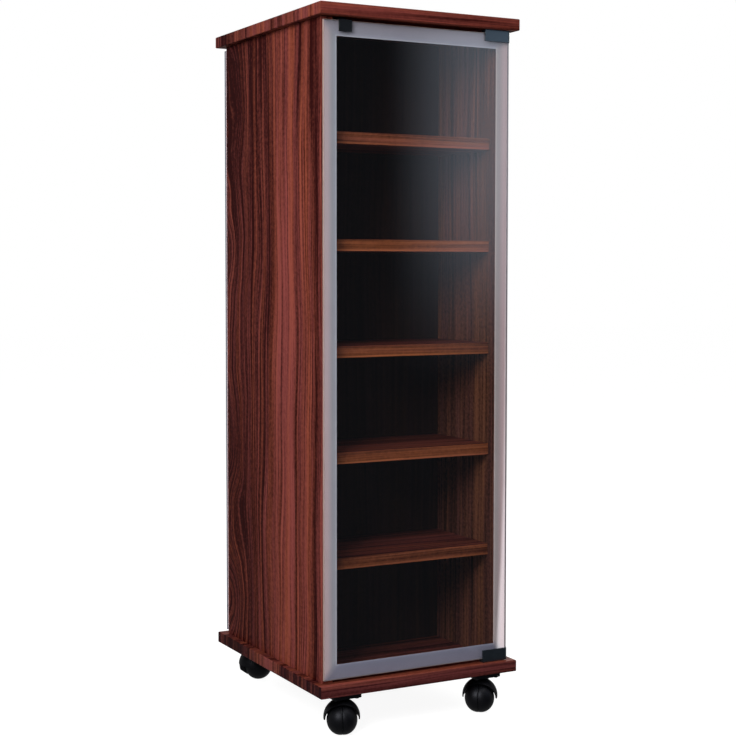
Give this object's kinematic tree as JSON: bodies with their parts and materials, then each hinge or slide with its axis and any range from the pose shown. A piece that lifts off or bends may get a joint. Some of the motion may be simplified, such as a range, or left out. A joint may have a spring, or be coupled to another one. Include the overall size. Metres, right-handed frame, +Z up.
{
  "type": "disc storage tower",
  "caption": "Tall double-sided disc storage tower of wood-grain board with glass doors front and back, shelves between, and swivelling ball castors.",
  "frame": {"origin": "on the floor, under the centre of the case", "axes": "+Z up, -Y towards the front door, +X towards the hinge side of both doors"},
  "size_m": [0.31, 0.3639, 0.976],
  "materials": {
    "wood_decor": "satin wood-grain foil",
    "hardboard": "matt",
    "door_glass": "clear, with a satin printed border",
    "satin_print": "satin screen print on glass",
    "black_metal": "satin black",
    "steel": "turned",
    "pale_nylon": "matt",
    "black_plastic": "moulded, semi-gloss"
  },
  "bodies": {
    "carcass": {"base_board": "wood_decor", "top_board": "wood_decor", "left_side_panel": "wood_decor", "right_side_panel": "wood_decor", "centre_partition": "hardboard", "front_shelf_1": "wood_decor", "front_shelf_2": "wood_decor", "front_shelf_3": "wood_decor", "front_shelf_4": "wood_decor", "front_shelf_5": "wood_decor", "front_top_hinge_bush": "pale_nylon", "front_bottom_hinge_bush": "pale_nylon", "front_latch_housing": "black_plastic", "rear_shelf_1": "wood_decor", "rear_shelf_2": "wood_decor", "rear_shelf_3": "wood_decor", "rear_shelf_4": "wood_decor", "rear_shelf_5": "wood_decor", "rear_top_hinge_bush": "pale_nylon", "rear_bottom_hinge_bush": "pale_nylon", "rear_latch_housing": "black_plastic", "front_left_castor_plate": "black_plastic", "front_right_castor_plate": "black_plastic", "rear_left_castor_plate": "black_plastic", "rear_right_castor_plate": "black_plastic"},
    "front_door": {"front_glass_pane": "door_glass", "front_catch_plate": "black_metal", "front_top_hinge_clamp": "black_metal", "front_top_hinge_pin": "steel", "front_top_hinge_set_screw": "black_metal", "front_bottom_hinge_clamp": "black_metal", "front_bottom_hinge_pin": "steel", "front_bottom_hinge_set_screw": "black_metal"},
    "rear_door": {"rear_glass_pane": "door_glass", "rear_catch_plate": "black_metal", "rear_top_hinge_clamp": "black_metal", "rear_top_hinge_pin": "steel", "rear_top_hinge_set_screw": "black_metal", "rear_bottom_hinge_clamp": "black_metal", "rear_bottom_hinge_pin": "steel", "rear_bottom_hinge_set_screw": "black_metal"},
    "front_latch_plunger": {"front_latch_plunger": "black_plastic"},
    "rear_latch_plunger": {"rear_latch_plunger": "black_plastic"},
    "front_left_swivel": {"front_left_castor_hood": "black_plastic", "front_left_castor_axle": "steel"},
    "front_left_wheel_a": {"front_left_castor_wheel_a": "black_plastic"},
    "front_left_wheel_b": {"front_left_castor_wheel_b": "black_plastic"},
    "front_right_swivel": {"front_right_castor_hood": "black_plastic", "front_right_castor_axle": "steel"},
    "front_right_wheel_a": {"front_right_castor_wheel_a": "black_plastic"},
    "front_right_wheel_b": {"front_right_castor_wheel_b": "black_plastic"},
    "rear_left_swivel": {"rear_left_castor_hood": "black_plastic", "rear_left_castor_axle": "steel"},
    "rear_left_wheel_a": {"rear_left_castor_wheel_a": "black_plastic"},
    "rear_left_wheel_b": {"rear_left_castor_wheel_b": "black_plastic"},
    "rear_right_swivel": {"rear_right_castor_hood": "black_plastic", "rear_right_castor_axle": "steel"},
    "rear_right_wheel_a": {"rear_right_castor_wheel_a": "black_plastic"},
    "rear_right_wheel_b": {"rear_right_castor_wheel_b": "black_plastic"}
  },
  "joints": [
    {"name": "front_door_hinge", "type": "hinge", "parent": "carcass", "child": "front_door", "pos_m": [0.141, -0.165, 0.516], "axis": [0, 0, 1], "range_deg": [0, 180]},
    {"name": "rear_door_hinge", "type": "hinge", "parent": "carcass", "child": "rear_door", "pos_m": [0.141, 0.165, 0.516], "axis": [0, 0, -1], "range_deg": [0, 180]},
    {"name": "front_latch_press", "type": "slide", "parent": "carcass", "child": "front_latch_plunger", "axis": [0, 1, 0], "range_m": [0, 0.0025], "stiffness_N_per_m": 200},
    {"name": "rear_latch_press", "type": "slide", "parent": "carcass", "child": "rear_latch_plunger", "axis": [0, -1, 0], "range_m": [0, 0.0025], "stiffness_N_per_m": 200},
    {"name": "front_left_swivel_turn", "type": "hinge", "parent": "carcass", "child": "front_left_swivel", "pos_m": [-0.1115, -0.1515, 0.056], "axis": [0, 0, 1], "continuous": true},
    {"name": "front_left_wheel_a_roll", "type": "hinge", "parent": "front_left_swivel", "child": "front_left_wheel_a", "pos_m": [-0.1158, -0.16163, 0.0205], "axis": [0.9205, -0.3907, 0], "continuous": true},
    {"name": "front_left_wheel_b_roll", "type": "hinge", "parent": "front_left_swivel", "child": "front_left_wheel_b", "pos_m": [-0.1158, -0.16163, 0.0205], "axis": [0.9205, -0.3907, 0], "continuous": true},
    {"name": "front_right_swivel_turn", "type": "hinge", "parent": "carcass", "child": "front_right_swivel", "pos_m": [0.1115, -0.1515, 0.056], "axis": [0, 0, 1], "continuous": true},
    {"name": "front_right_wheel_a_roll", "type": "hinge", "parent": "front_right_swivel", "child": "front_right_wheel_a", "pos_m": [0.10458, -0.16005, 0.0205], "axis": [0.7771, -0.6293, 0], "continuous": true},
    {"name": "front_right_wheel_b_roll", "type": "hinge", "parent": "front_right_swivel", "child": "front_right_wheel_b", "pos_m": [0.10458, -0.16005, 0.0205], "axis": [0.7771, -0.6293, 0], "continuous": true},
    {"name": "rear_left_swivel_turn", "type": "hinge", "parent": "carcass", "child": "rear_left_swivel", "pos_m": [-0.1115, 0.1515, 0.056], "axis": [0, 0, 1], "continuous": true},
    {"name": "rear_left_wheel_a_roll", "type": "hinge", "parent": "rear_left_swivel", "child": "rear_left_wheel_a", "pos_m": [-0.10123, 0.14756, 0.0205], "axis": [0.3584, 0.9336, 0], "continuous": true},
    {"name": "rear_left_wheel_b_roll", "type": "hinge", "parent": "rear_left_swivel", "child": "rear_left_wheel_b", "pos_m": [-0.10123, 0.14756, 0.0205], "axis": [0.3584, 0.9336, 0], "continuous": true},
    {"name": "rear_right_swivel_turn", "type": "hinge", "parent": "carcass", "child": "rear_right_swivel", "pos_m": [0.1115, 0.1515, 0.056], "axis": [0, 0, 1], "continuous": true},
    {"name": "rear_right_wheel_a_roll", "type": "hinge", "parent": "rear_right_swivel", "child": "rear_right_wheel_a", "pos_m": [0.11812, 0.16029, 0.0205], "axis": [-0.7986, 0.6018, 0], "continuous": true},
    {"name": "rear_right_wheel_b_roll", "type": "hinge", "parent": "rear_right_swivel", "child": "rear_right_wheel_b", "pos_m": [0.11812, 0.16029, 0.0205], "axis": [-0.7986, 0.6018, 0], "continuous": true}
  ]
}
